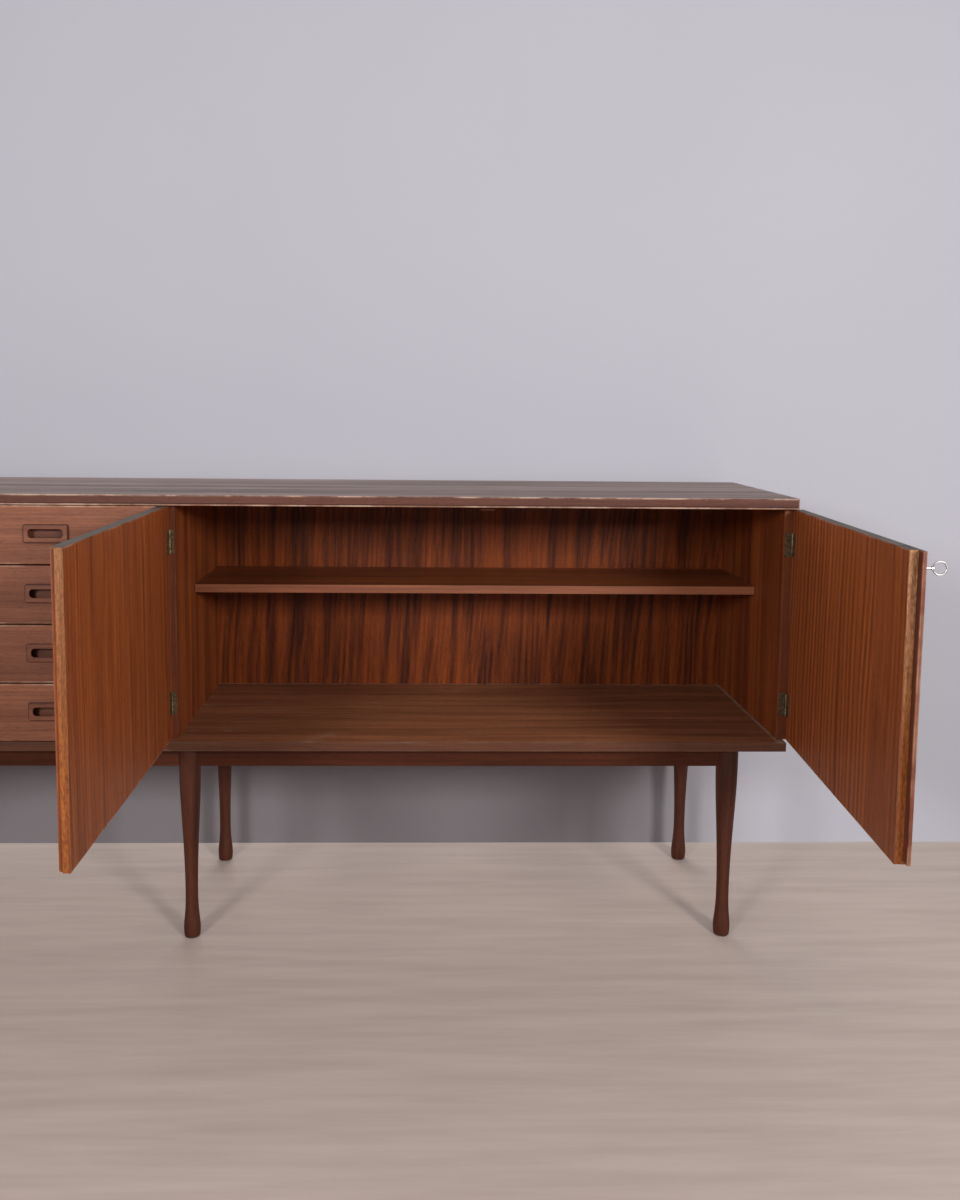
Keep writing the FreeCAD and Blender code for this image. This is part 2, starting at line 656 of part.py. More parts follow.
def leg(x, y):
    """A turned leg: a straight shoulder, a long taper to a waist, and a foot that flares."""
    taper = Part.BSplineCurve()
    taper.interpolate([
        point(LEG_TOP_RADIUS, 0, LEG_SHOULDER_HEIGHT),
        point(LEG_KNEE_RADIUS, 0, LEG_KNEE_HEIGHT),
        point(LEG_WAIST_RADIUS, 0, LEG_WAIST_HEIGHT),
        point(LEG_FLARE_RADIUS, 0, LEG_FLARE_HEIGHT),
        point(LEG_FOOT_RADIUS, 0, LEG_FOOT_HEIGHT),
        point(LEG_TOE_RADIUS, 0, LEG_TOE_HEIGHT),
    ])
    outline = Part.Wire([
        Part.LineSegment(point(0, 0, CASE_UNDERSIDE), point(LEG_TOP_RADIUS, 0, CASE_UNDERSIDE)).toShape(),
        Part.LineSegment(
            point(LEG_TOP_RADIUS, 0, CASE_UNDERSIDE), point(LEG_TOP_RADIUS, 0, LEG_SHOULDER_HEIGHT)).toShape(),
        taper.toShape(),
        Part.LineSegment(point(LEG_TOE_RADIUS, 0, LEG_TOE_HEIGHT), point(0, 0, LEG_TOE_HEIGHT)).toShape(),
        Part.LineSegment(point(0, 0, LEG_TOE_HEIGHT), point(0, 0, CASE_UNDERSIDE)).toShape(),
    ])
    turned = Part.Face(outline).revolve(point(0, 0, 0), UP, 360)
    turned.translate(point(x, y, 0))
    return turned


def leg_glides():
    places = [(x, y) for x in LEG_PLACES.values() for y in (0.0, LEG_ROWS_APART)]
    return [rod(point(x, y, 0), UP, GLIDE_RADIUS, LEG_TOE_HEIGHT) for x, y in places]


def coped(rail):
    """The rail hollowed to fit round the legs that it meets."""
    room = [
        rod(point(x, y, RAIL_BOTTOM - FIT), UP, LEG_TOP_RADIUS + RAIL_GLUE_LINE, RAIL_HEIGHT + 2 * FIT)
        for x in LEG_PLACES.values() for y in (0.0, LEG_ROWS_APART)
    ]
    return cut_all(rail, holes_near(rail, room))


def long_rails():
    rails = []
    for y in (0.0, LEG_ROWS_APART):
        for span in ((-LEG_X, 0.0), (0.0, LEG_X)):
            rail = coped(block(span, about(y, RAIL_THICKNESS), (RAIL_BOTTOM, CASE_UNDERSIDE)))
            rails.append(cut_all(rail, holes_near(rail, base_screw_holes())))
    return rails


def cross_rails():
    return [
        coped(block(about(x, RAIL_THICKNESS), (0.0, LEG_ROWS_APART), (RAIL_BOTTOM, CASE_UNDERSIDE)))
        for x in LEG_PLACES.values()
    ]


def base_screws():
    screws = []
    for x, y in base_screw_places():
        seat = RAIL_BOTTOM + BASE_COUNTERBORE
        head = rod(point(x, y, seat - BASE_SCREW_HEAD_HEIGHT), UP, BASE_SCREW_HEAD_RADIUS, BASE_SCREW_HEAD_HEIGHT)
        length = RAIL_HEIGHT - BASE_COUNTERBORE + BASE_SCREW_BITE
        screws.append(head.fuse(rod(point(x, y, seat), UP, BASE_SCREW_RADIUS, length)))
    return screws


# Locks, drawn at the shut door

def keyhole(key_x, y_span):
    """A round hole with a slot below it, through which the key and its bit pass."""
    length = y_span[1] - y_span[0]
    start = point(key_x, y_span[0], KEY_Z)
    barrel = rod(start, ALONG_Y, KEY_SHANK_RADIUS + KEYHOLE_CLEARANCE, length)
    slot = block(
        about(key_x, KEY_BIT_THICKNESS + 2 * KEYHOLE_CLEARANCE), y_span,
        (KEY_Z - KEY_BIT_REACH - KEYHOLE_CLEARANCE, KEY_Z))
    return barrel.fuse(slot)


def lock_room(key_x):
    """What a lock takes out of its door: a mortise from the top edge and a keyhole."""
    mortise = block(
        about(key_x, LOCK_CASE_WIDTH + 2 * FIT), about(DOOR_MID_Y, LOCK_CASE_THICKNESS + 2 * FIT),
        (DOOR_TOP - FOREND_THICKNESS - LOCK_CASE_HEIGHT - FIT, DOOR_TOP + FIT))
    forend = block(
        about(key_x, FOREND_LENGTH + 2 * FIT), about(DOOR_MID_Y, FOREND_WIDTH + 2 * FIT),
        (DOOR_TOP - FOREND_THICKNESS, DOOR_TOP + FIT))
    return [mortise, forend, keyhole(key_x, (DOOR_FRONT_Y - FIT, DOOR_MID_Y))]


def lock_case(key_x):
    top = DOOR_TOP - FOREND_THICKNESS
    case = block(
        about(key_x, LOCK_CASE_WIDTH), about(DOOR_MID_Y, LOCK_CASE_THICKNESS), (top - LOCK_CASE_HEIGHT, top))
    forend = block(about(key_x, FOREND_LENGTH), about(DOOR_MID_Y, FOREND_WIDTH), (top, DOOR_TOP))
    cavity = block(
        about(key_x, LOCK_CASE_WIDTH - 2 * LOCK_WALL), about(DOOR_MID_Y, LOCK_CASE_THICKNESS - 2 * LOCK_WALL),
        (top - LOCK_CASE_HEIGHT + LOCK_WALL, top))
    bolt_slot = block(
        about(key_x, BOLT_WIDTH + 2 * BOLT_SLIDE_CLEARANCE),
        about(DOOR_MID_Y, BOLT_THICKNESS + 2 * BOLT_SLIDE_CLEARANCE),
        (top - FIT, DOOR_TOP + FIT))
    front_wall = (DOOR_MID_Y - LOCK_CASE_THICKNESS, DOOR_MID_Y)
    return case.fuse(forend).cut([cavity, bolt_slot, keyhole(key_x, front_wall)]).removeSplitter()


def lock_bolt(key_x):
    """A bar that slides up out of the door, on a foot that stands over the key's bit."""
    foot_bottom = KEY_Z + KEY_BIT_REACH + 2 * KEYHOLE_CLEARANCE
    bar = block(
        about(key_x, BOLT_WIDTH), about(DOOR_MID_Y, BOLT_THICKNESS), (foot_bottom, DOOR_TOP - BOLT_BELOW_TOP))
    foot = block(
        about(key_x, BOLT_FOOT_WIDTH), about(DOOR_MID_Y, BOLT_THICKNESS),
        (foot_bottom, foot_bottom + BOLT_FOOT_HEIGHT))
    return bar.fuse(foot).removeSplitter()


def key(key_x):
    """A round shank with a warded bit, a collar, and a ring bow in an upright plane."""
    bow_start = DOOR_FRONT_Y - KEY_NECK
    tip = DOOR_MID_Y + LOCK_CASE_THICKNESS / 2 - LOCK_WALL - KEYHOLE_CLEARANCE
    shank = rod(point(key_x, bow_start, KEY_Z), ALONG_Y, KEY_SHANK_RADIUS, tip - bow_start)
    collar = rod(point(key_x, bow_start, KEY_Z), ALONG_Y, KEY_COLLAR_RADIUS, KEY_COLLAR_LENGTH)
    bit_y = about(DOOR_MID_Y, KEY_BIT_WIDTH)
    bit = block(about(key_x, KEY_BIT_THICKNESS), bit_y, (KEY_Z - KEY_BIT_REACH, KEY_Z))
    ward = block(
        about(key_x, 2 * KEY_BIT_THICKNESS), about(DOOR_MID_Y, KEY_WARD),
        (KEY_Z - KEY_BIT_REACH - FIT, KEY_Z - KEY_BIT_REACH / 2))
    bow_middle = point(key_x, bow_start - KEY_BOW_RADIUS, KEY_Z)
    bow = Part.makeTorus(KEY_BOW_RADIUS, KEY_BOW_WIRE, bow_middle, point(1, 0, 0))
    return bow.fuse([shank, collar, bit.cut(ward)]).removeSplitter()


def escutcheon(key_x):
    y_span = (DOOR_FRONT_Y - ESCUTCHEON_THICKNESS, DOOR_FRONT_Y)
    plate = obround(key_x, KEY_Z - ESCUTCHEON_DROP, ESCUTCHEON_WIDTH, ESCUTCHEON_HEIGHT, *y_span)
    return plate.cut(keyhole(key_x, (y_span[0] - FIT, y_span[1] + FIT)))


def save_lock(door, key_x):
    hinge = HINGES[door]
    pieces = {
        "_lock_case": lock_case(key_x),
        "_lock_bolt": lock_bolt(key_x),
        "_key": key(key_x),
        "_escutcheon": escutcheon(key_x),
    }
    for name, piece in pieces.items():
        save(door + name, swing(piece, hinge["pin_x"], hinge["open"]))


# Doors, drawn shut

def door_slab(x_span, door, room):
    slab = eased(block(x_span, (DOOR_FRONT_Y, DOOR_BACK_Y), (DOOR_BOTTOM, DOOR_TOP)))
    return cut_all(slab, hinge_cuts(door, -1) + room)


def left_door():
    return door_slab((-DOOR_END_X, LEFT_FREE_X), "left", lock_room(LEFT_KEY_X))


def middle_door():
    """Its free edge is rebated at the front to take the right door's lip."""
    rebate = block(
        (LIP_END_X - LIP_CLEARANCE, MIDDLE_FREE_X + FIT),
        (DOOR_FRONT_Y - FIT, DOOR_FRONT_Y + LIP_THICKNESS + LIP_CLEARANCE),
        (DOOR_BOTTOM - FIT, DOOR_TOP + FIT))
    return door_slab((MIDDLE_PIN_X + PIN_OUT, MIDDLE_FREE_X), "middle", [rebate])


def right_door():
    """Its free edge has a seat along the front for the lip."""
    seat = block(
        (RIGHT_FREE_X - FIT, RIGHT_FREE_X + LIP_SEAT_WIDTH),
        (DOOR_FRONT_Y - FIT, DOOR_FRONT_Y + LIP_THICKNESS),
        (DOOR_BOTTOM + LIP_FOOT_GAP, DOOR_TOP + FIT))
    return door_slab((RIGHT_FREE_X, DOOR_END_X), "right", [seat] + lock_room(RIGHT_KEY_X))


def right_door_lip():
    return eased(block(
        (LIP_END_X, RIGHT_FREE_X + LIP_SEAT_WIDTH), (DOOR_FRONT_Y, DOOR_FRONT_Y + LIP_THICKNESS),
        (DOOR_BOTTOM + LIP_FOOT_GAP, DOOR_TOP)))


# Drawers, numbered from the top

def drawer_level(number):
    """The bottom of a drawer front."""
    return DOOR_TOP - number * DRAWER_FRONT_HEIGHT - (number - 1) * DRAWER_GAP


def pull_level(number):
    """The middle of a drawer's pull."""
    return drawer_level(number) + DRAWER_FRONT_HEIGHT / 2 + PULL_ABOVE_MIDDLE


def drawer_bottom_span(number):
    low = drawer_level(number) + DRAWER_SIDE_RAISE + DRAWER_BOTTOM_RAISE
    return (low, low + DRAWER_BOTTOM_THICKNESS)


def drawer_bottom(number):
    sunk = BOTTOM_GROOVE_DEPTH - FIT
    return block(
        (BOX_LEFT + DRAWER_SIDE_THICKNESS - sunk, BOX_RIGHT - DRAWER_SIDE_THICKNESS + sunk),
        (DOOR_BACK_Y - sunk, BOX_BACK_Y), drawer_bottom_span(number))


def bottom_groove(number):
    """The groove for the drawer's bottom, in its sides and front."""
    low, high = drawer_bottom_span(number)
    return block(
        (BOX_LEFT + DRAWER_SIDE_THICKNESS - BOTTOM_GROOVE_DEPTH, BOX_RIGHT - DRAWER_SIDE_THICKNESS
         + BOTTOM_GROOVE_DEPTH),
        (DOOR_BACK_Y - BOTTOM_GROOVE_DEPTH, BOX_BACK_Y + FIT), (low, high + FIT))


def runner_span(number):
    low = drawer_level(number) + DRAWER_SIDE_RAISE + RUNNER_ABOVE_SIDE_BOTTOM
    return (low, low + RUNNER_HEIGHT)


def drawer_runners():
    """A strip on each lining for each drawer."""
    runners = []
    reach = DRAWER_SIDE_GAP + RUNNER_IN_GROOVE
    y_span = (FRONT_Y + RUNNER_START, FRONT_Y + RUNNER_START + RUNNER_LENGTH)
    for number in range(1, DRAWERS + 1):
        for x_span in ((DRAWER_BAY_LEFT, DRAWER_BAY_LEFT + reach), (DRAWER_BAY_RIGHT - reach, DRAWER_BAY_RIGHT)):
            runners.append(block(x_span, y_span, runner_span(number)))
    return runners


def runner_grooves(number):
    """The grooves in the drawer's sides that hang on the runners."""
    low, high = runner_span(number)
    z_span = (low - RUNNER_TOP_CLEARANCE, high + RUNNER_TOP_CLEARANCE)
    depth = RUNNER_IN_GROOVE + RUNNER_SIDE_CLEARANCE
    y_span = (FRONT_Y + RUNNER_START - 2 * RUNNER_SIDE_CLEARANCE, BOX_BACK_Y + FIT)
    return [
        block((BOX_LEFT - FIT, BOX_LEFT + depth), y_span, z_span),
        block((BOX_RIGHT - depth, BOX_RIGHT + FIT), y_span, z_span),
    ]


def drawer_front(number):
    low = drawer_level(number)
    front = eased(block(
        about(DRAWER_X, DRAWER_FRONT_WIDTH), (DRAWER_FRONT_Y, DOOR_BACK_Y), (low, low + DRAWER_FRONT_HEIGHT)))
    window = rounded_slab(
        about(DRAWER_X, PULL_BODY_LENGTH + 2 * FIT), (DRAWER_FRONT_Y - FIT, DOOR_BACK_Y + FIT),
        about(pull_level(number), PULL_BODY_HEIGHT + 2 * FIT), PULL_CORNER_RADIUS)
    return cut_all(front, [bottom_groove(number), window])


def drawer_pull(number):
    """A raised frame on a cup that fills the window in the front, with a hollow behind its lip."""
    z = pull_level(number)
    face_y = DRAWER_FRONT_Y - PULL_RAISE
    frame = rounded_slab(
        about(DRAWER_X, PULL_LENGTH), (face_y, DRAWER_FRONT_Y), about(z, PULL_HEIGHT), PULL_CORNER_RADIUS)
    frame = frame.makeFillet(PULL_EDGE_RADIUS, edges_on_level(frame, 1, face_y))
    slot = rounded_slab(
        about(DRAWER_X, SLOT_LENGTH), (face_y, DRAWER_FRONT_Y), about(z, SLOT_HEIGHT), SLOT_RADIUS)
    frame = frame.cut(slot)
    inner_reach = SLOT_LENGTH / 2 + FIT
    rim = [edge for edge in edges_on_level(frame, 1, face_y)
           if max(abs(vertex.Point.x - DRAWER_X) for vertex in edge.Vertexes) < inner_reach]
    frame = frame.makeFillet(SLOT_EDGE_RADIUS, rim)
    body = rounded_slab(
        about(DRAWER_X, PULL_BODY_LENGTH), (DRAWER_FRONT_Y, DOOR_BACK_Y), about(z, PULL_BODY_HEIGHT),
        PULL_CORNER_RADIUS)
    pocket = rounded_slab(
        about(DRAWER_X, PULL_BODY_LENGTH - 2 * POCKET_WALL), (face_y + PULL_LIP, DOOR_BACK_Y - PULL_BACK_WALL),
        about(z, PULL_BODY_HEIGHT - 2 * POCKET_WALL), PULL_CORNER_RADIUS)
    return frame.fuse(body).cut(pocket).removeSplitter()


def drawer_box(number):
    """Two sides, a back that stands on the bottom, and the bottom, as separate pieces."""
    low = drawer_level(number) + DRAWER_SIDE_RAISE
    high = low + DRAWER_SIDE_HEIGHT
    cuts = [bottom_groove(number)] + runner_grooves(number)
    sides = []
    for x_span in (
        (BOX_LEFT, BOX_LEFT + DRAWER_SIDE_THICKNESS),
        (BOX_RIGHT - DRAWER_SIDE_THICKNESS, BOX_RIGHT),
    ):
        sides.append(eased(block(x_span, (DOOR_BACK_Y, BOX_BACK_Y), (low, high))).cut(cuts))
    back = eased(block(
        (BOX_LEFT + DRAWER_SIDE_THICKNESS, BOX_RIGHT - DRAWER_SIDE_THICKNESS),
        (BOX_BACK_Y - DRAWER_BACK_THICKNESS, BOX_BACK_Y),
        (drawer_bottom_span(number)[1], high - DRAWER_BACK_DROP)))
    return sides + [back, drawer_bottom(number)]


save("top_board", top_board())
save("bottom_board", bottom_board())
save("left_side_panel", side_panel(-END_X, -BAY_END_X, "left"))
save("right_side_panel", side_panel(END_X, BAY_END_X, "right"))
save("left_divider", divider(LEFT_DIVIDER_X, []))
save("right_divider", divider(RIGHT_LINING_X, ["middle"]))
save("drawer_linings", drawer_linings())
save("drawer_runners", drawer_runners())
for bay, panel_span in BACK_PANELS.items():
    save(bay + "_back_panel", back_panel(panel_span))
save("back_panel_pins", back_panel_pins())
save("left_shelf", shelf(-BAY_END_X, LEFT_DIVIDER_X))
save("right_shelf", shelf(RIGHT_DIVIDER_X, BAY_END_X))
save("shelf_pins", shelf_pins())
save("door_stop", door_stop())
save("lock_strike_plates", [strike_plate(LEFT_KEY_X), strike_plate(RIGHT_KEY_X)])

for side_name, leg_x in LEG_PLACES.items():
    save(side_name + "_front_leg", leg(leg_x, 0.0))
    save(side_name + "_back_leg", leg(leg_x, LEG_ROWS_APART))
save("leg_glides", leg_glides())
save("long_rails", long_rails())
save("cross_rails", cross_rails())
save("base_screws", base_screws())

save("left_door", left_door())
save("middle_door", swing(middle_door(), MIDDLE_PIN_X, HINGES["middle"]["open"]))
save("right_door", swing(right_door(), RIGHT_PIN_X, HINGES["right"]["open"]))
save("right_door_lip", swing(right_door_lip(), RIGHT_PIN_X, HINGES["right"]["open"]))
save_hinges()
save_lock("left", LEFT_KEY_X)
save_lock("right", RIGHT_KEY_X)

for drawer in range(1, DRAWERS + 1):
    save("drawer_" + str(drawer) + "_front", drawer_front(drawer))
    save("drawer_" + str(drawer) + "_pull", drawer_pull(drawer))
    save("drawer_" + str(drawer) + "_box", drawer_box(drawer))
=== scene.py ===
import json
import math
from collections import namedtuple

import bpy
import numpy as np
from mathutils import Matrix, Vector


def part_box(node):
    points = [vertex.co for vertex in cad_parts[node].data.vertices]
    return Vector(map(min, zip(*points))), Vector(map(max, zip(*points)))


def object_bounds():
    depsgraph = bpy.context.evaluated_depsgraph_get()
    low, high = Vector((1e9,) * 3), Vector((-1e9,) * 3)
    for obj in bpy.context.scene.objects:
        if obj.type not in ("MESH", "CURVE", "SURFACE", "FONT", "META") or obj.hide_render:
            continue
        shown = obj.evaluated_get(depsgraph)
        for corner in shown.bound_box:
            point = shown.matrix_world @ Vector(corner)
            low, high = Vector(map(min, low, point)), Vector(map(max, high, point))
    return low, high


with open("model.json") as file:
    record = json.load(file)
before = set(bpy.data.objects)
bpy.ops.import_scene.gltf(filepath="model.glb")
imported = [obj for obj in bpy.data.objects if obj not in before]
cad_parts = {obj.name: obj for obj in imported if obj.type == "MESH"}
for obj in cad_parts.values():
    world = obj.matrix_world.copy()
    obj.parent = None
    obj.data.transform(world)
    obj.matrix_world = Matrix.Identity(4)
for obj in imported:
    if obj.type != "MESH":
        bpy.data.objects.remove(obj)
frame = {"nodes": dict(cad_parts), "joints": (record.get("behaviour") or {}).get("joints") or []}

cad_low, cad_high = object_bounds()
nodes = frame["nodes"]
joints = {joint["name"]: joint for joint in frame["joints"]}

# --- The room -------------------------------------------------------------------------------------
# The sideboard stands on a pale floor, close to a pale wall. The camera stands in front of the
# two-door bay, a little above the top board, and looks slightly down.

camera = bpy.data.objects.new("camera", bpy.data.cameras.new("camera"))
bpy.context.scene.collection.objects.link(camera)
bpy.context.scene.camera = camera
# In radians: turned to the right, tilted down and leaned.
yaw, pitch, roll = 0.0256, 0.0993, 0.009
CAMERA_PLACE = (0.397, -1.807, 0.930)
ahead = Vector((math.sin(yaw) * math.cos(pitch), math.cos(yaw) * math.cos(pitch), -math.sin(pitch)))
level_right = Vector((math.cos(yaw), -math.sin(yaw), 0.0))
level_up = level_right.cross(ahead)
right = level_right * math.cos(roll) + level_up * math.sin(roll)
camera_axes = Matrix((right, right.cross(ahead), -ahead)).transposed().to_4x4()
camera.matrix_world = Matrix.Translation(CAMERA_PLACE) @ camera_axes
camera.data.lens = 32.07
camera.data.sensor_width = 36.0
camera.data.shift_x = 0.0263
camera.data.shift_y = -0.073
camera.data.clip_start = 0.05
bpy.context.scene.view_settings.view_transform = "Standard"

WALL_GAP = 0.042
ROOM_REACH = 6.0
ROOM_STEPS = 8
wall_y = cad_high.y + WALL_GAP


def grid_surface(name, place, across, along, wrap_across=False, wrap_along=False, smooth=True):
    """A mesh from place(u, v), which gives x, y and z arrays for u and v from 0 to 1 over a grid of
    across by along steps. A wrapped side joins its last column or row to its first."""
    u_count, v_count = across + (not wrap_across), along + (not wrap_along)
    u, v = np.meshgrid(np.arange(u_count) / across, np.arange(v_count) / along, indexing="ij")
    points = np.stack(np.broadcast_arrays(*place(u, v)), axis=-1).reshape(-1, 3)
    i, j = np.meshgrid(np.arange(across), np.arange(along), indexing="ij")
    i_next, j_next = (i + 1) % u_count, (j + 1) % v_count
    corners = [i * v_count + j, i_next * v_count + j, i_next * v_count + j_next, i * v_count + j_next]
    faces = np.stack(corners, axis=-1).reshape(-1, 4)
    mesh = bpy.data.meshes.new(name)
    mesh.from_pydata(points, [], faces.tolist())
    mesh.update()
    mesh.polygons.foreach_set("use_smooth", np.full(len(mesh.polygons), smooth))
    piece = bpy.data.objects.new(name, mesh)
    bpy.context.scene.collection.objects.link(piece)
    return piece


def floor_place(u, v):
    """The floor, level and square about the part."""
    return (u - 0.5) * 2 * ROOM_REACH, (v - 0.5) * 2 * ROOM_REACH, u * 0


def wall_place(u, v):
    """The wall, upright behind the part."""
    return (u - 0.5) * 2 * ROOM_REACH, wall_y + u * 0, v * ROOM_REACH / 2


floor = grid_surface("floor", floor_place, ROOM_STEPS, ROOM_STEPS, smooth=False)
wall = grid_surface("wall", wall_place, ROOM_STEPS, ROOM_STEPS, smooth=False)
# The wall is only a backdrop: nothing is shaded or lit by it, and from behind it is clear.
wall.visible_shadow = False
wall.visible_diffuse = False
wall.visible_glossy = False
wall.visible_transmission = False


def blank_material(name):
    """A new material, its node tree and its surface shader."""
    material = bpy.data.materials.new(name)
    material.use_nodes = True
    tree = material.node_tree
    shader = next(node for node in tree.nodes if node.type == "BSDF_PRINCIPLED")
    return material, tree, shader


def add(tree, kind, inputs=(), **settings):
    """A node of a kind in a tree. inputs gives sockets, by name or number, a value or a link."""
    node = tree.nodes.new(kind)
    for key, value in settings.items():
        setattr(node, key, value)
    for key, value in dict(inputs).items():
        if isinstance(value, bpy.types.NodeSocket):
            tree.links.new(value, node.inputs[key])
        else:
            node.inputs[key].default_value = value
    return node


def maths(tree, operation, first, second=0.0, third=0.0, clamp=False):
    """The result of one sum on values or links."""
    node = add(tree, "ShaderNodeMath", {0: first, 1: second, 2: third}, operation=operation,
               use_clamp=clamp)
    return node.outputs[0]


def vector_maths(tree, operation, first, second):
    """The result of one sum on vectors or links."""
    node = add(tree, "ShaderNodeVectorMath", {0: first, 1: second}, operation=operation)
    return node.outputs[0]


def split(tree, vector):
    """The three parts of a vector."""
    return add(tree, "ShaderNodeSeparateXYZ", {0: vector}).outputs


def blend_colour(tree, amount, first, second):
    """Two colours mixed by an amount from 0 to 1."""
    node = add(tree, "ShaderNodeMix", {0: amount, 6: first, 7: second}, data_type="RGBA")
    return node.outputs[2]


def ramp(tree, value, low, high, start=0.0, end=1.0):
    """A smooth step from start to end while the value goes from low to high."""
    node = add(tree, "ShaderNodeMapRange", {"Value": value, "From Min": low, "From Max": high,
               "To Min": start, "To Max": end}, interpolation_type="SMOOTHSTEP")
    return node.outputs["Result"]


def noise(tree, vector, scale, detail=3.0, roughness=0.5):
    """A noise value about 0.5."""
    return add(tree, "ShaderNodeTexNoise", {"Vector": vector, "Scale": scale, "Detail": detail,
               "Roughness": roughness}).outputs[0]


def stretch(tree, vector, scale, shift=(0.0, 0.0, 0.0)):
    """A vector times a scale for each axis, plus a shift."""
    node = add(tree, "ShaderNodeVectorMath", {0: vector, 1: scale, 2: shift}, operation="MULTIPLY_ADD")
    return node.outputs[0]


floor_paint, tree, shader = blank_material("pale floor")
place = add(tree, "ShaderNodeTexCoord").outputs["Object"]
mottle = noise(tree, stretch(tree, place, (1.4, 16.0, 1.0)), 2.0, 5.0, 0.6)
paint = blend_colour(tree, mottle, (0.33, 0.255, 0.215, 1.0), (0.52, 0.42, 0.37, 1.0))
tree.links.new(paint, shader.inputs["Base Color"])
shader.inputs["Roughness"].default_value = 0.55
floor.data.materials.append(floor_paint)

wall_paint, tree, shader = blank_material("pale wall")
place = add(tree, "ShaderNodeTexCoord").outputs["Object"]
paint = blend_colour(tree, noise(tree, place, 1.5),
                     (0.41, 0.40, 0.44, 1.0), (0.44, 0.43, 0.47, 1.0))
# The part hides the low middle of the wall from the light, so it is darker there.
spot = split(tree, place)
behind = maths(tree, "ABSOLUTE", spot[0])
behind = ramp(tree, behind, cad_high.x * 0.8, cad_high.x * 1.1, 0.8, 0.0)
behind = maths(tree, "MULTIPLY", behind, ramp(tree, spot[2], 0.1, 0.7, 1.0, 0.0))
paint = blend_colour(tree, behind, paint, (0.11, 0.09, 0.09, 1.0))
tree.links.new(paint, shader.inputs["Base Color"])
shader.inputs["Roughness"].default_value = 0.9
clear = add(tree, "ShaderNodeBsdfTransparent").outputs[0]
from_behind = add(tree, "ShaderNodeNewGeometry").outputs["Backfacing"]
both = add(tree, "ShaderNodeMixShader", {0: from_behind, 1: shader.outputs[0], 2: clear})
tree.links.new(both.outputs[0], tree.nodes["Material Output"].inputs["Surface"])
wall.data.materials.append(wall_paint)

# Two soft lights stand in front, to the left and right, and a broad one stands behind.
world = bpy.data.worlds.new("studio")
bpy.context.scene.world = world
world.use_nodes = True
world.node_tree.nodes["Background"].inputs["Color"].default_value = (0.93, 0.95, 1.0, 1.0)
world.node_tree.nodes["Background"].inputs["Strength"].default_value = 0.55


def soft_light(name, place, target, size, power):
    """A square light that faces a target."""
    lamp = bpy.data.objects.new(name, bpy.data.lights.new(name, "AREA"))
    lamp.data.size = size
    lamp.data.energy = power
    lamp.location = place
    lamp.rotation_mode = "QUATERNION"
    lamp.rotation_quaternion = (Vector(target) - Vector(place)).to_track_quat("-Z", "Y")
    lamp.visible_glossy = name != "back light"
    bpy.context.scene.collection.objects.link(lamp)


soft_light("left light", (-0.95, -2.6, 1.45), (0.3, 0.1, 0.5), 0.5, 40.0)
soft_light("right light", (1.9, -2.6, 1.45), (0.6, 0.1, 0.5), 0.5, 62.0)
soft_light("back light", (0.0, 3.2, 2.2), (0.0, 0.3, 0.4), 2.0, 60.0)

# --- Wood ------------------------------------------------------------------------------------------
# Every board is veneered in a red-brown wood with a ribbon figure. It is finished with a thin oil
# that leaves the pores open, and it has darkened inside, greyed on top and rubbed pale on its arrises.


def group_sockets(group, sockets):
    """Declares a group's inputs and outputs, each a name, a way and a kind with an optional
    default. Returns what the group is given and what it makes."""
    for name, way, kind, *default in sockets:
        socket = group.interface.new_socket(name=name, in_out=way, socket_type=kind)
        if default:
            socket.default_value = default[0]
    return group.nodes.new("NodeGroupInput").outputs, group.nodes.new("NodeGroupOutput").inputs


# Grain runs along the group's own X. Tone runs from dark to light, Pore marks the open pores.
ribbon_grain = bpy.data.node_groups.new("ribbon grain", "ShaderNodeTree")
given, made = group_sockets(ribbon_grain, [
    ("Vector", "INPUT", "NodeSocketVector"),
    ("Ribbon Pitch", "INPUT", "NodeSocketFloat", 0.02),
    ("Ribbon Depth", "INPUT", "NodeSocketFloat", 0.6),
    ("Evenness", "INPUT", "NodeSocketFloat", 0.0),
    ("Slant", "INPUT", "NodeSocketFloat", 0.0),
    ("Tone", "OUTPUT", "NodeSocketFloat"),
    ("Pore", "OUTPUT", "NodeSocketFloat"),
])
grain = ribbon_grain
axes = split(grain, given["Vector"])
wander = noise(grain, stretch(grain, given["Vector"], (1.6, 5.0, 5.0)), 1.0, 2.0)
drift = maths(grain, "MULTIPLY_ADD", wander, 0.03, maths(grain, "MULTIPLY", axes[0], given["Slant"]))
bent = add(grain, "ShaderNodeCombineXYZ", {
    0: axes[0],
    1: maths(grain, "ADD", axes[1], drift),
    2: maths(grain, "ADD", axes[2], drift),
}).outputs[0]
per_pitch = maths(grain, "DIVIDE", 1.0, given["Ribbon Pitch"])
in_pitches = add(grain, "ShaderNodeVectorMath", {0: bent, 3: per_pitch}, operation="SCALE").outputs[0]
loose = noise(grain, stretch(grain, in_pitches, (0.022, 0.62, 0.62)), 1.0, 2.5, 0.55)
loose = ramp(grain, loose, 0.33, 0.67)
pitched = split(grain, in_pitches)
phase = maths(grain, "ADD", pitched[1], pitched[2])
sway = noise(grain, stretch(grain, in_pitches, (0.02, 0.12, 0.12)), 1.0, 1.0)
phase = maths(grain, "MULTIPLY_ADD", sway, 3.0, phase)
wave = maths(grain, "SINE", maths(grain, "MULTIPLY", phase, math.tau))
swell = noise(grain, stretch(grain, in_pitches, (0.03, 0.3, 0.3), (3.0, 1.0, 7.0)), 1.0, 1.0)
wave = maths(grain, "MULTIPLY", wave, ramp(grain, swell, 0.3, 0.6, 0.1, 0.5))
even = maths(grain, "ADD", wave, 0.5)
ribbon = add(grain, "ShaderNodeMix", {0: given["Evenness"], 2: loose, 3: even}).outputs[0]
lines = noise(grain, stretch(grain, bent, (5.0, 620.0, 620.0)), 1.0, 3.0, 0.6)
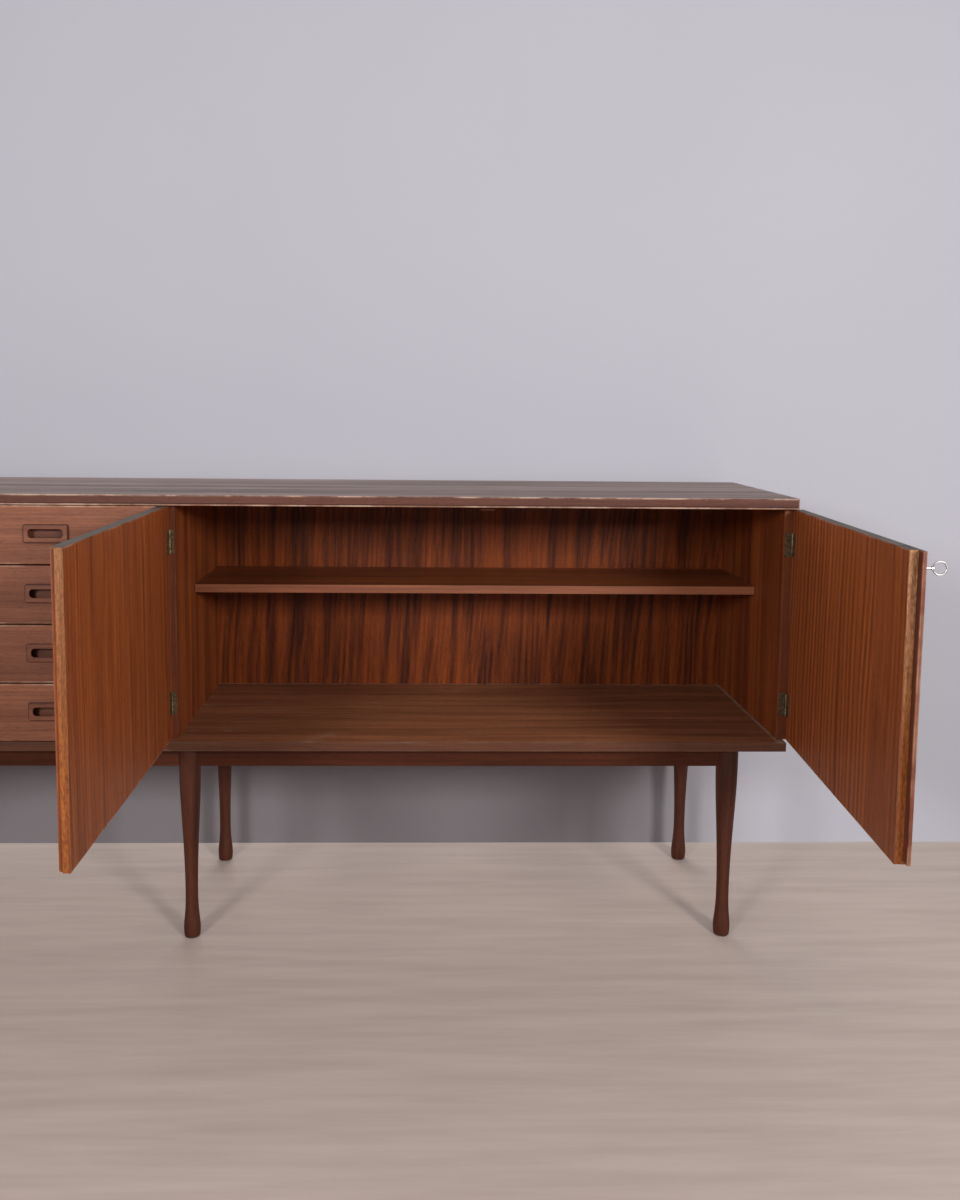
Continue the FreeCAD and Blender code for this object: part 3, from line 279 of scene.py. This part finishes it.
streak = noise(grain, stretch(grain, bent, (1.7, 130.0, 130.0), (5.0, 2.0, 9.0)), 1.0, 3.0, 0.6)
cloud = noise(grain, stretch(grain, given["Vector"], (1.2, 3.0, 3.0), (1.0, 4.0, 2.0)), 1.4, 3.0)
fine = maths(grain, "ADD", maths(grain, "MULTIPLY_ADD", lines, 0.8, -0.4),
             maths(grain, "MULTIPLY_ADD", streak, 0.95, -0.475))
swing = maths(grain, "MULTIPLY", maths(grain, "SUBTRACT", ribbon, 0.5), given["Ribbon Depth"])
tone = maths(grain, "ADD", maths(grain, "ADD", maths(grain, "ADD", 0.5, swing), fine),
             maths(grain, "MULTIPLY_ADD", cloud, 0.3, -0.15), clamp=True)
grain.links.new(tone, made["Tone"])
dashes = noise(grain, stretch(grain, bent, (70.0, 1500.0, 1500.0)), 1.0, 1.0)
grain.links.new(ramp(grain, dashes, 0.58, 0.68), made["Pore"])

# Places on a board whose low and high corners are given: how far a point is from the nearest
# arris, and how far above the low corner and below the high one.
board_shape = bpy.data.node_groups.new("board shape", "ShaderNodeTree")
given, made = group_sockets(board_shape, [
    ("Vector", "INPUT", "NodeSocketVector"),
    ("Low", "INPUT", "NodeSocketVector"),
    ("High", "INPUT", "NodeSocketVector"),
    ("From Arris", "OUTPUT", "NodeSocketFloat"),
    ("Above", "OUTPUT", "NodeSocketVector"),
    ("Below", "OUTPUT", "NodeSocketVector"),
])
above = vector_maths(board_shape, "SUBTRACT", given["Vector"], given["Low"])
below = vector_maths(board_shape, "SUBTRACT", given["High"], given["Vector"])
nearest = vector_maths(board_shape, "MINIMUM", above, below)
nearest = vector_maths(board_shape, "MAXIMUM", nearest, (0.0, 0.0, 0.0))
reach = split(board_shape, nearest)
least = maths(board_shape, "MINIMUM", maths(board_shape, "MINIMUM", reach[0], reach[1]), reach[2])
most = maths(board_shape, "MAXIMUM", maths(board_shape, "MAXIMUM", reach[0], reach[1]), reach[2])
total = maths(board_shape, "ADD", maths(board_shape, "ADD", reach[0], reach[1]), reach[2])
middle = maths(board_shape, "SUBTRACT", maths(board_shape, "SUBTRACT", total, least), most)
board_shape.links.new(middle, made["From Arris"])
board_shape.links.new(above, made["Above"])
board_shape.links.new(below, made["Below"])


# A wood's material and tree, and the links that a finish may build on.
Wood = namedtuple("Wood", "material tree shader place colour figure shape")

# The turn that lays a group's X along the board's X, Y or Z.
GRAIN_TURNS = ((0.0, 0.0, 0.0), (0.0, 0.0, -math.pi / 2), (0.0, math.pi / 2, 0.0))
# How strongly the pores are darkened, and how dark they are beside the dark tone.
PORE_BLEND, PORE_SHADE = 0.45, 0.35
# How far in from an arris the rubbing reaches, and over what depth a face's colour and an edge's
# colour give way to the board's, in metres.
RUBBED_REACH = (0.0006, 0.0035)
FACE_DEPTH = (0.0002, 0.0006)
EDGE_DEPTH = (0.0005, 0.0012)


def wood(name, dark, light, along, node=None, joint=None, pitch=0.02, depth=0.6, evenness=0.0,
         slant=0.0, roughness=0.5, wear=0.25, worn=(0.42, 0.24, 0.15, 1.0), shift=(0.0, 0.0, 0.0),
         shine=0.25):
    """A veneer whose grain runs along an axis, 0, 1 or 2 for X, Y or Z. Its tone goes from dark to
    light by the ribbon grain; its pores are darker and sunk; its arrises are rubbed towards worn.
    A door's pattern is turned back to where the door is shut."""
    material, tree, shader = blank_material(name)
    place = add(tree, "ShaderNodeTexCoord").outputs["Object"]
    if joint:
        angle, pin = joint
        turn = Matrix.Rotation(-angle, 3, "Z")
        place = add(tree, "ShaderNodeMapping", {
            "Vector": place, "Rotation": (0.0, 0.0, -angle), "Location": pin - turn @ pin}).outputs[0]
    grain_place = add(tree, "ShaderNodeMapping", {
        "Vector": place, "Rotation": GRAIN_TURNS[along], "Location": shift}).outputs[0]
    figure = add(tree, "ShaderNodeGroup", {
        "Vector": grain_place, "Ribbon Pitch": pitch, "Ribbon Depth": depth,
        "Evenness": evenness, "Slant": slant}, node_tree=ribbon_grain)
    colour = blend_colour(tree, figure.outputs["Tone"], dark, light)
    pore = maths(tree, "MULTIPLY", figure.outputs["Pore"], PORE_BLEND)
    colour = blend_colour(tree, pore, colour, tuple(PORE_SHADE * c for c in dark[:3]) + (1.0,))
    shape = None
    if node:
        low, high = board_box(node, joint)
        shape = add(tree, "ShaderNodeGroup", {"Vector": place, "Low": low, "High": high},
                    node_tree=board_shape)
        arris_wear_and_highlight = ramp(tree, shape.outputs["From Arris"], *RUBBED_REACH, 1.0, 0.0)
        patch = ramp(tree, noise(tree, place, 14.0, 4.0, 0.65), 0.4, 0.7)
        amount = maths(tree, "MULTIPLY", maths(tree, "MULTIPLY", arris_wear_and_highlight, patch), wear * 2.0, clamp=True)
        colour = blend_colour(tree, amount, colour, worn)
    tree.links.new(colour, shader.inputs["Base Color"])
    smear = noise(tree, place, 9.0, 3.0)
    smeared = maths(tree, "MULTIPLY_ADD", smear, 0.25, roughness - 0.12)
    tree.links.new(smeared, shader.inputs["Roughness"])
    height = maths(tree, "MULTIPLY_ADD", figure.outputs["Pore"], -1.0, figure.outputs["Tone"])
    bump = add(tree, "ShaderNodeBump", {"Strength": 0.12, "Distance": 0.0004, "Height": height})
    tree.links.new(bump.outputs[0], shader.inputs["Normal"])
    shader.inputs["Specular IOR Level"].default_value = shine
    return Wood(material, tree, shader, place, colour, figure, shape)


def board_box(node, joint=None):
    """The low and high corners of a node's mesh, turned back to where its door is shut."""
    mesh = nodes[node].data
    points = np.empty(len(mesh.vertices) * 3)
    mesh.vertices.foreach_get("co", points)
    points = points.reshape(-1, 3)
    if joint:
        angle, pin = joint
        turn = np.array(Matrix.Rotation(-angle, 3, "Z"))
        points = (points - np.array(pin)) @ turn.T + np.array(pin)
    return tuple(points.min(axis=0)), tuple(points.max(axis=0))


def finish_node(node, material):
    """Gives a CAD node its finish."""
    slots = nodes[node].data.materials
    slots.clear()
    slots.append(material)


def recolour(made_wood, colour):
    """Puts a further worked colour on a wood made above."""
    made_wood.tree.links.new(colour, made_wood.shader.inputs["Base Color"])


# --- Top board --------------------------------------------------------------------------------------
# One long veneered board with solid edges. A line is cut round the edge above a thin bead; painted shade
# darkens the line and a painted highlight lightens the bead. Its upper face is greyed and streaked, and
# a painted highlight lightens its front arris, strongest towards the left.

top = wood("top veneer", (0.045, 0.012, 0.007, 1.0), (0.135, 0.046, 0.027, 1.0), 0, "top_board",
           pitch=0.03, depth=0.45, roughness=0.6, wear=0.9, worn=(0.42, 0.27, 0.20, 1.0))
tree = top.tree
along = split(tree, top.place)[0]
height_below = split(tree, top.shape.outputs["Below"])[2]
height_above = split(tree, top.shape.outputs["Above"])[2]
# A painted highlight along the front arris, strongest towards the left and broken into patches.
arris_wear_and_highlight = maths(tree, "MULTIPLY", ramp(tree, height_below, 0.001, 0.005, 0.8, 0.0),
               ramp(tree, along, -0.9, 0.35, 0.75, 0.1))
patches = ramp(tree, noise(tree, top.place, 22.0, 4.0, 0.7), 0.4, 0.65)
colour = blend_colour(tree, maths(tree, "MULTIPLY", arris_wear_and_highlight, patches), top.colour,
                      (0.46, 0.33, 0.27, 1.0))
upper = ramp(tree, height_below, 0.0002, 0.0008, 1.0, 0.0)
greyed = blend_colour(tree, top.figure.outputs["Tone"],
                      (0.085, 0.056, 0.050, 1.0), (0.36, 0.27, 0.25, 1.0))
colour = blend_colour(tree, maths(tree, "MULTIPLY", upper, 0.85), colour, greyed)
# Painted shade: the cut line above the bead is darkened almost to black.
line_shade = maths(tree, "MULTIPLY", ramp(tree, height_above, 0.0024, 0.0028),
                ramp(tree, height_above, 0.0038, 0.0042, 1.0, 0.0))
line_shade = maths(tree, "MULTIPLY", line_shade, 0.8)
colour = blend_colour(tree, line_shade, colour, (0.02, 0.006, 0.004, 1.0))
# A painted highlight makes the bead paler than the board.
bead = maths(tree, "MULTIPLY", ramp(tree, height_above, 0.0022, 0.0027, 1.0, 0.0), 0.35)
colour = blend_colour(tree, bead, colour, (0.30, 0.15, 0.09, 1.0))
recolour(top, colour)
finish_node("top_board", top.material)

# --- Bottom board -----------------------------------------------------------------------------------
# Veneered on both faces, with dark edges. Its upper face is dulled by use, with dust in the corners.

bottom = wood("bottom veneer", (0.085, 0.024, 0.010, 1.0), (0.36, 0.135, 0.060, 1.0), 0,
              "bottom_board", pitch=0.014, depth=0.32, roughness=0.5, wear=0.4,
              worn=(0.30, 0.17, 0.11, 1.0))
tree, place = bottom.tree, bottom.place
spot = split(tree, place)
above = split(tree, bottom.shape.outputs["Above"])
below = split(tree, bottom.shape.outputs["Below"])
front_edge = ramp(tree, above[1], 0.0004, 0.001, 0.75, 0.0)
colour = blend_colour(tree, front_edge, bottom.colour, (0.032, 0.007, 0.003, 1.0))
# Scuffs lie across its upper face, and dust along the back and the side of the open bay.
upper = ramp(tree, below[2], *FACE_DEPTH, 1.0, 0.0)
scuffs = noise(tree, stretch(tree, place, (7.0, 26.0, 1.0)), 1.0, 5.0, 0.7)
scuffs = ramp(tree, scuffs, 0.60, 0.72, 0.0, 0.5)
back_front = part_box("right_back_panel")[0].y
side_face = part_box("right_side_panel")[0].x
dust = maths(tree, "MAXIMUM", ramp(tree, spot[1], back_front - 0.007, back_front - 0.002),
             ramp(tree, spot[0], side_face - 0.006, side_face - 0.002))
dust = maths(tree, "MULTIPLY", dust, ramp(tree, noise(tree, place, 60.0, 3.0), 0.3, 0.6, 0.3, 0.9))
marks = maths(tree, "MULTIPLY", upper, maths(tree, "MAXIMUM", scuffs, dust))
recolour(bottom, blend_colour(tree, marks, colour, (0.33, 0.21, 0.15, 1.0)))
finish_node("bottom_board", bottom.material)

# --- Sides and dividers -----------------------------------------------------------------------------
# Upright veneered boards, with a plain ribbon figure running upwards and darker front edges.

for number, node in enumerate(["left_side_panel", "right_side_panel", "left_divider",
                               "right_divider", "drawer_linings"]):
    upright = wood(node.replace("_", " "), (0.085, 0.016, 0.005, 1.0), (0.30, 0.072, 0.016, 1.0),
                   2, node, pitch=0.022, depth=0.55, wear=0.1,
                   shift=(0.0, 0.31 * number, 0.17 * number))
    tree = upright.tree
    from_front = split(tree, upright.shape.outputs["Above"])[1]
    front_edge = maths(tree, "MULTIPLY", ramp(tree, from_front, *EDGE_DEPTH, 1.0, 0.0), 0.6)
    recolour(upright, blend_colour(tree, front_edge, upright.colour, (0.075, 0.018, 0.006, 1.0)))
    finish_node(node, upright.material)

# --- Back panels ------------------------------------------------------------------------------------
# Thin plywood let into a rebate and pinned, faced with the most strongly figured veneer.

for number, node in enumerate(["left_back_panel", "middle_back_panel", "right_back_panel"]):
    back = wood(node.replace("_", " "), (0.040, 0.007, 0.002, 1.0), (0.21, 0.042, 0.006, 1.0), 2,
                pitch=0.0105, depth=0.85, evenness=0.25, slant=0.04,
                shift=(0.0, 0.47 * number, 0.0), shine=0.15)
    finish_node(node, back.material)

# --- Shelves ----------------------------------------------------------------------------------------
# Loose veneered boards with a solid front edge, each resting on four pins.

for number, node in enumerate(["left_shelf", "right_shelf"]):
    shelf = wood(node.replace("_", " "), (0.10, 0.022, 0.006, 1.0), (0.30, 0.080, 0.022, 1.0), 0,
                 node, depth=0.5, shift=(0.4 * number, 0.0, 0.2), wear=0.3)
    tree = shelf.tree
    from_front = split(tree, shelf.shape.outputs["Above"])[1]
    front_edge = ramp(tree, from_front, *EDGE_DEPTH, 1.0, 0.0)
    lipping = blend_colour(tree, shelf.figure.outputs["Tone"],
                           (0.11, 0.030, 0.012, 1.0), (0.31, 0.105, 0.050, 1.0))
    recolour(shelf, blend_colour(tree, front_edge, shelf.colour, lipping))
    finish_node(node, shelf.material)

# --- Base -------------------------------------------------------------------------------------------
# Long and cross rails join three pairs of turned legs. The legs are dark and close grained.

RAIL_DARK = (0.03, 0.007, 0.003, 1.0)
RAIL_LIGHT = (0.08, 0.02, 0.008, 1.0)
rails = wood("rail wood", RAIL_DARK, RAIL_LIGHT, 0, pitch=0.015, depth=0.4, shine=0.1)
finish_node("long_rails", rails.material)
cross = wood("cross rail wood", RAIL_DARK, RAIL_LIGHT, 1, pitch=0.015, depth=0.4, shine=0.1)
finish_node("cross_rails", cross.material)

leg_wood = wood("leg wood", (0.028, 0.007, 0.003, 1.0), (0.088, 0.022, 0.010, 1.0), 2,
                pitch=0.012, depth=0.45, shine=0.18)
for side in ("left", "middle", "right"):
    for row in ("front", "back"):
        finish_node(f"{side}_{row}_leg", leg_wood.material)

# --- Doors ------------------------------------------------------------------------------------------
# Each door is a board veneered on both faces: across its front, up its back. Its edges are lipped in
# pale solid wood.


def door_joint(name):
    """The angle that a door is turned from shut at rest, by the right-hand rule about Z, and its pin."""
    joint = joints[name]
    opened = -math.radians(joint["range_deg"][0])
    return opened * joint["axis"][2], Vector(joint["pos_m"])


# The palest tone of each door's lipping, the two tones of the front veneer, and the pitch,
# evenness and depth of the ribbons on each door's back.
LIPPING_PALE = {
    "left_door": (0.38, 0.17, 0.07, 1.0),
    "middle_door": (0.34, 0.145, 0.055, 1.0),
    "right_door": (0.54, 0.28, 0.14, 1.0),
}
FRONT_DARK = (0.105, 0.032, 0.015, 1.0)
FRONT_LIGHT = (0.29, 0.105, 0.055, 1.0)
DOOR_LOOKS = {
    "left_door": (0.010, 0.3, 0.55),
    "middle_door": (0.009, 0.4, 0.5),
    "right_door": (0.017, 0.8, 0.7),
}
for number, (node, (pitch, evenness, depth)) in enumerate(DOOR_LOOKS.items()):
    door = wood(node.replace("_", " "), (0.095, 0.018, 0.005, 1.0), (0.33, 0.083, 0.019, 1.0), 2,
                node, door_joint(node + "_hinge"), pitch=pitch, depth=depth, evenness=evenness,
                shift=(0.0, 0.7 * number, 0.0), wear=0.3)
    tree, place = door.tree, door.place
    above = split(tree, door.shape.outputs["Above"])
    below = split(tree, door.shape.outputs["Below"])
    spot = split(tree, place)
    front_figure = add(tree, "ShaderNodeGroup", {
        "Vector": place, "Ribbon Pitch": 0.03, "Ribbon Depth": 0.4}, node_tree=ribbon_grain)
    front_veneer = blend_colour(tree, front_figure.outputs["Tone"], FRONT_DARK, FRONT_LIGHT)
    front_face = ramp(tree, above[1], *FACE_DEPTH, 1.0, 0.0)
    colour = blend_colour(tree, front_face, door.colour, front_veneer)
    # The lipping is pale where light reaches it, near the top, and more orange below.
    specks = noise(tree, stretch(tree, place, (1.0, 1.0, 0.3)), 420.0, 3.0, 0.7)
    specks = ramp(tree, specks, 0.35, 0.60, 0.35, 1.15)
    speckle = maths(tree, "MULTIPLY", door.figure.outputs["Tone"], specks, clamp=True)
    pale = blend_colour(tree, speckle, (0.12, 0.040, 0.012, 1.0), LIPPING_PALE[node])
    orange = blend_colour(tree, speckle, (0.10, 0.022, 0.004, 1.0), (0.33, 0.10, 0.018, 1.0))
    lipping = blend_colour(tree, ramp(tree, spot[2], 0.48, 0.76), orange, pale)
    veneer_edge = ramp(tree, above[1], 0.0024, 0.0032, 0.85, 0.0)
    lipping = blend_colour(tree, veneer_edge, lipping, (0.05, 0.014, 0.006, 1.0))
    from_end = maths(tree, "MINIMUM", above[0], below[0])
    colour = blend_colour(tree, ramp(tree, from_end, *FACE_DEPTH, 1.0, 0.0), colour, lipping)
    dusty = blend_colour(tree, noise(tree, place, 40.0, 4.0, 0.7),
                         (0.035, 0.022, 0.014, 1.0), (0.12, 0.080, 0.055, 1.0))
    colour = blend_colour(tree, ramp(tree, below[2], *FACE_DEPTH, 1.0, 0.0), colour, dusty)
    recolour(door, colour)
    finish_node(node, door.material)
lip = wood("lip wood", (0.06, 0.013, 0.006, 1.0), (0.17, 0.045, 0.022, 1.0), 2, "right_door_lip",
           door_joint("right_door_hinge"), pitch=0.01, depth=0.4)
finish_node("right_door_lip", lip.material)

# --- Drawers ----------------------------------------------------------------------------------------
# Veneered fronts with the grain along them, each with a raised pull of the same wood, and boxes of
# pale solid wood that hang on runners.

DRAWER_NUMBERS = range(1, 5)
for number in DRAWER_NUMBERS:
    front = wood(f"drawer {number} front", FRONT_DARK, FRONT_LIGHT, 0, f"drawer_{number}_front",
                 pitch=0.03, depth=0.4, shift=(0.3 * number, 0.0, 0.53 * number), wear=0.6,
                 worn=(0.42, 0.24, 0.16, 1.0))
    finish_node(f"drawer_{number}_front", front.material)
box_wood = wood("drawer box wood", (0.28, 0.18, 0.09, 1.0), (0.45, 0.32, 0.18, 1.0), 1,
                pitch=0.03, depth=0.4)
for number in DRAWER_NUMBERS:
    pull = wood(f"drawer {number} pull", (0.09, 0.026, 0.012, 1.0), (0.25, 0.09, 0.05, 1.0), 0,
                f"drawer_{number}_pull", pitch=0.012, depth=0.4, shift=(0.4 * number, 0.0, 0.0),
                wear=0.0)
    tree = pull.tree
    # Painted shade: the pull is darkened near its arrises and deeper inside its recess.
    rim_shade = ramp(tree, pull.shape.outputs["From Arris"], 0.0012, 0.0022, 0.75, 0.0)
    behind_front = split(tree, pull.shape.outputs["Above"])[1]
    sunk = ramp(tree, behind_front, 0.004, 0.009, 0.0, 0.3)
    shaded = maths(tree, "MAXIMUM", rim_shade, sunk)
    recolour(pull, blend_colour(tree, shaded, pull.colour, (0.045, 0.011, 0.006, 1.0)))
    finish_node(f"drawer_{number}_pull", pull.material)
    finish_node(f"drawer_{number}_box", box_wood.material)
finish_node("drawer_runners", box_wood.material)
finish_node("door_stop", rails.material)


# --- Metal ------------------------------------------------------------------------------------------
# Brass butt hinges, dulled with age, and plain steel locks, pins and screws.

def metal(name, bright, dull, roughness):
    """Metal that goes from bright to dull in patches."""
    material, tree, shader = blank_material(name)
    place = add(tree, "ShaderNodeTexCoord").outputs["Object"]
    tarnish = ramp(tree, noise(tree, place, 160.0, 4.0, 0.6), 0.35, 0.65)
    tree.links.new(blend_colour(tree, tarnish, bright, dull), shader.inputs["Base Color"])
    rougher = maths(tree, "MULTIPLY_ADD", tarnish, 0.25, roughness)
    tree.links.new(rougher, shader.inputs["Roughness"])
    shader.inputs["Metallic"].default_value = 1.0
    return material


brass = metal("aged brass", (0.23, 0.165, 0.092, 1.0), (0.085, 0.060, 0.038, 1.0), 0.42)
steel = metal("plain steel", (0.62, 0.62, 0.60, 1.0), (0.45, 0.44, 0.42, 1.0), 0.25)
dark_steel = metal("tarnished steel", (0.16, 0.15, 0.14, 1.0), (0.07, 0.062, 0.055, 1.0), 0.45)
for node in nodes:
    if "hinge" in node or "escutcheon" in node or node in ("lock_strike_plates", "shelf_pins"):
        finish_node(node, brass)
    elif node.endswith("_key") or node in ("back_panel_pins", "base_screws"):
        finish_node(node, steel)
    elif "lock" in node:
        finish_node(node, dark_steel)

glide_plastic, tree, shader = blank_material("glide plastic")
place = add(tree, "ShaderNodeTexCoord").outputs["Object"]
paint = blend_colour(tree, noise(tree, place, 300.0),
                     (0.02, 0.02, 0.02, 1.0), (0.05, 0.048, 0.045, 1.0))
tree.links.new(paint, shader.inputs["Base Color"])
shader.inputs["Roughness"].default_value = 0.6
finish_node("leg_glides", glide_plastic)
